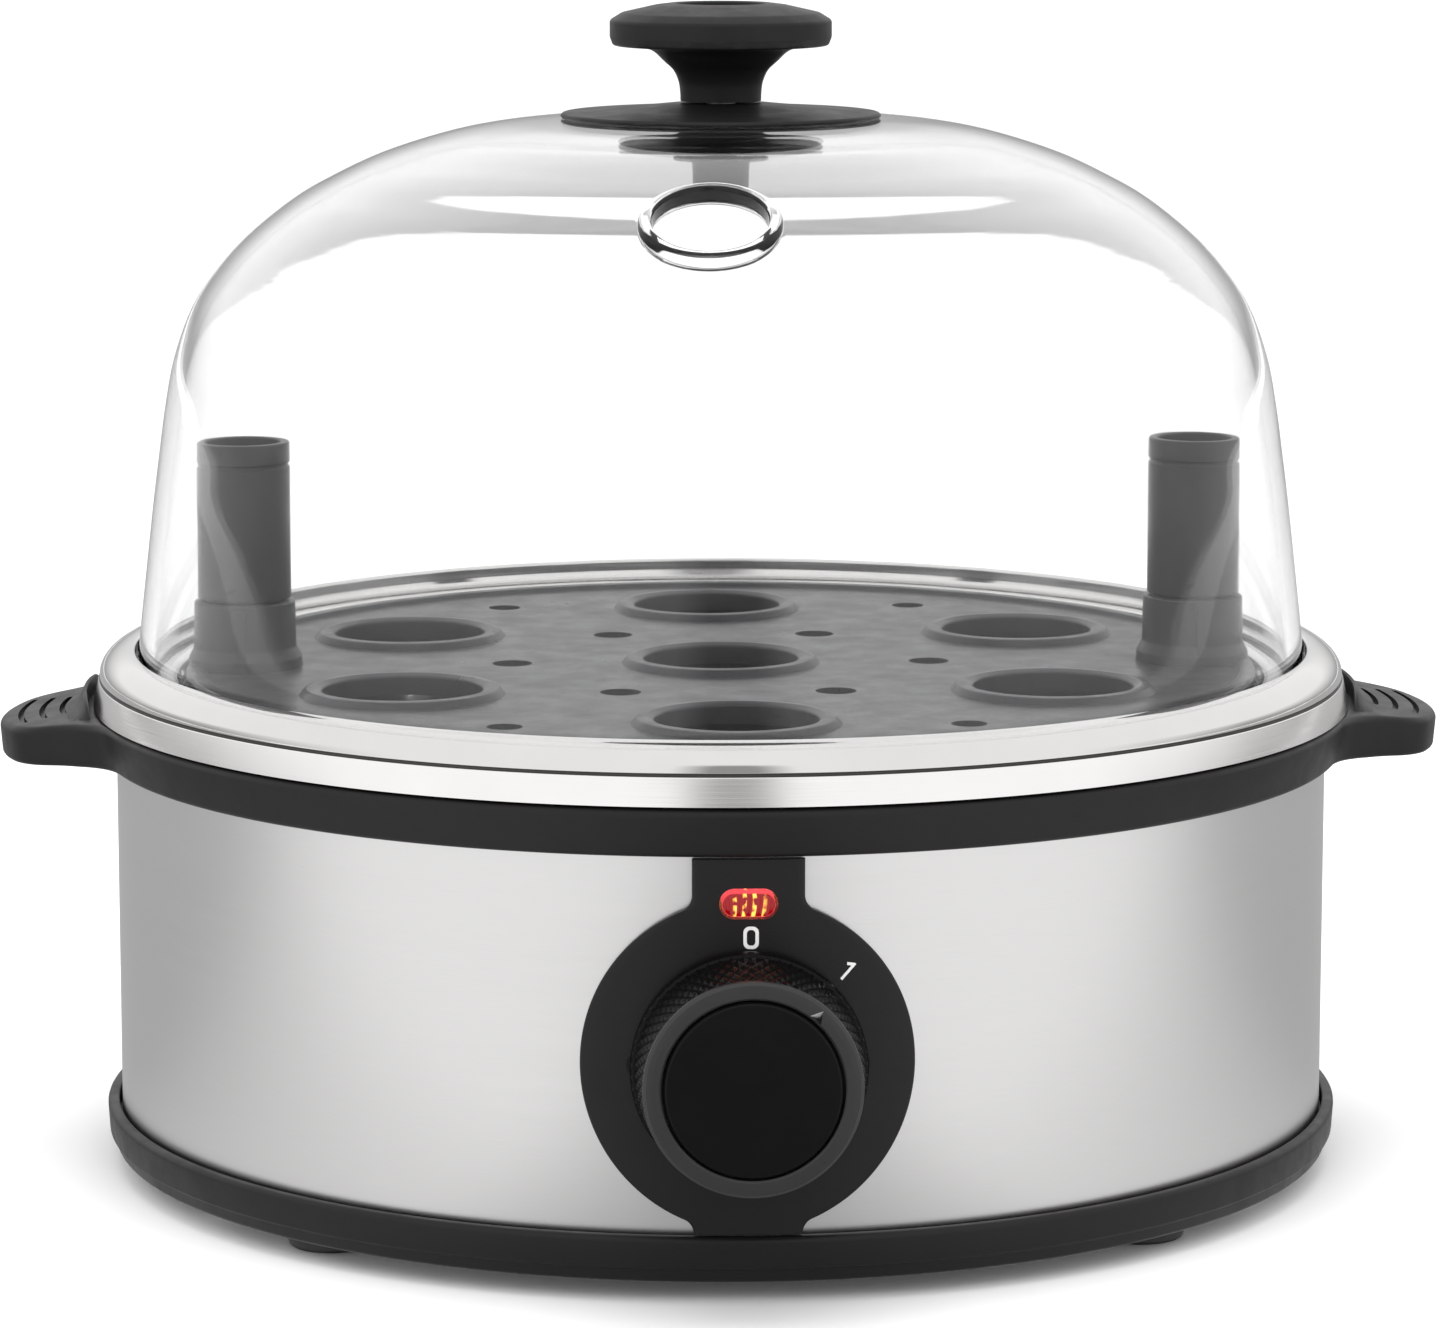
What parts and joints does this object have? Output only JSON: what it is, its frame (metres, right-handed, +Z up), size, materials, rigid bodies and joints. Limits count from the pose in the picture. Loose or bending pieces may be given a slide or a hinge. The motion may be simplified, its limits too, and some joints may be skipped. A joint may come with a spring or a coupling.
{
  "type": "egg cooker",
  "caption": "Electric egg cooker: steel-wrapped base with side handles, heated steel dish, lift-out egg tray, clear vented dome lid, turn dial and red indicator.",
  "frame": {"origin": "on the floor under the centre of the bounding box", "axes": "+Z up, the dial faces -Y, the handles point along +X and -X"},
  "size_m": [0.186, 0.175, 0.1487],
  "materials": {
    "black_plastic": "fine satin moulded",
    "gloss_black": "polished moulded",
    "tray_plastic": "satin moulded",
    "rubber": "matte",
    "silicone": "satin",
    "brushed_steel": "brushed round the body",
    "polished_steel": "mirror polished, brushed skirt",
    "plated_steel": "zinc plated",
    "aluminium": "as cast",
    "clear_plastic": "clear polished",
    "red_plastic": "clear red moulded",
    "lamp_glass": "clear",
    "phenolic": "pressed phenolic",
    "nylon": "natural nylon",
    "fibre_sleeve": "woven glass fibre sleeve",
    "lead_brown": "insulated wire",
    "lead_blue": "insulated wire",
    "lead_green": "insulated wire"
  },
  "bodies": {
    "base": {"base_pan": "black_plastic", "base_screw_1": "plated_steel", "base_screw_2": "plated_steel", "base_screw_3": "plated_steel", "base_screw_4": "plated_steel", "bushing_nut": "plated_steel", "collar_ring": "black_plastic", "cord_gland": "rubber", "dish": "polished_steel", "dish_seal": "silicone", "dish_stud_1": "plated_steel", "dish_stud_2": "plated_steel", "dish_stud_3": "plated_steel", "earth_screw": "plated_steel", "element_pin_left": "plated_steel", "element_pin_right": "plated_steel", "fascia": "black_plastic", "foot_back_left": "rubber", "foot_back_right": "rubber", "foot_front_left": "rubber", "foot_front_right": "rubber", "gland_nut": "nylon", "heat_shield": "plated_steel", "heater_plate": "aluminium", "heating_element": "plated_steel", "indicator_lamp": "lamp_glass", "indicator_lens": "red_plastic", "lamp_holder": "nylon", "lead_earth": "lead_green", "lead_heater": "lead_brown", "lead_lamp": "lead_blue", "lead_live": "lead_brown", "lead_neutral": "lead_blue", "rotary_switch": "phenolic", "steel_wrap": "brushed_steel", "stud_nut_1": "plated_steel", "stud_nut_2": "plated_steel", "stud_nut_3": "plated_steel", "switch_bracket": "plated_steel", "terminal_block": "nylon", "thermal_fuse": "fibre_sleeve", "thermostat": "phenolic", "thermostat_strap": "plated_steel"},
    "tray": {"egg_tray": "tray_plastic", "tray_post_left": "tray_plastic", "tray_post_right": "tray_plastic"},
    "lid": {"lid_dome": "clear_plastic", "lid_knob": "black_plastic", "lid_nut": "black_plastic", "lid_plate": "black_plastic", "lid_screw": "plated_steel", "lid_washer": "black_plastic"},
    "dial": {"dial_cap": "gloss_black", "dial_knob": "black_plastic", "dial_shaft": "plated_steel"}
  },
  "joints": [
    {"name": "tray_lift", "type": "slide", "parent": "base", "child": "tray", "axis": [0, 0, 1], "range_m": [0, 0.08]},
    {"name": "lid_lift", "type": "slide", "parent": "tray", "child": "lid", "axis": [0, 0, 1], "range_m": [0, 0.12]},
    {"name": "dial_turn", "type": "hinge", "parent": "base", "child": "dial", "pos_m": [0, -0.075, 0.0287], "axis": [0, -1, 0], "range_deg": [0, 42]}
  ]
}
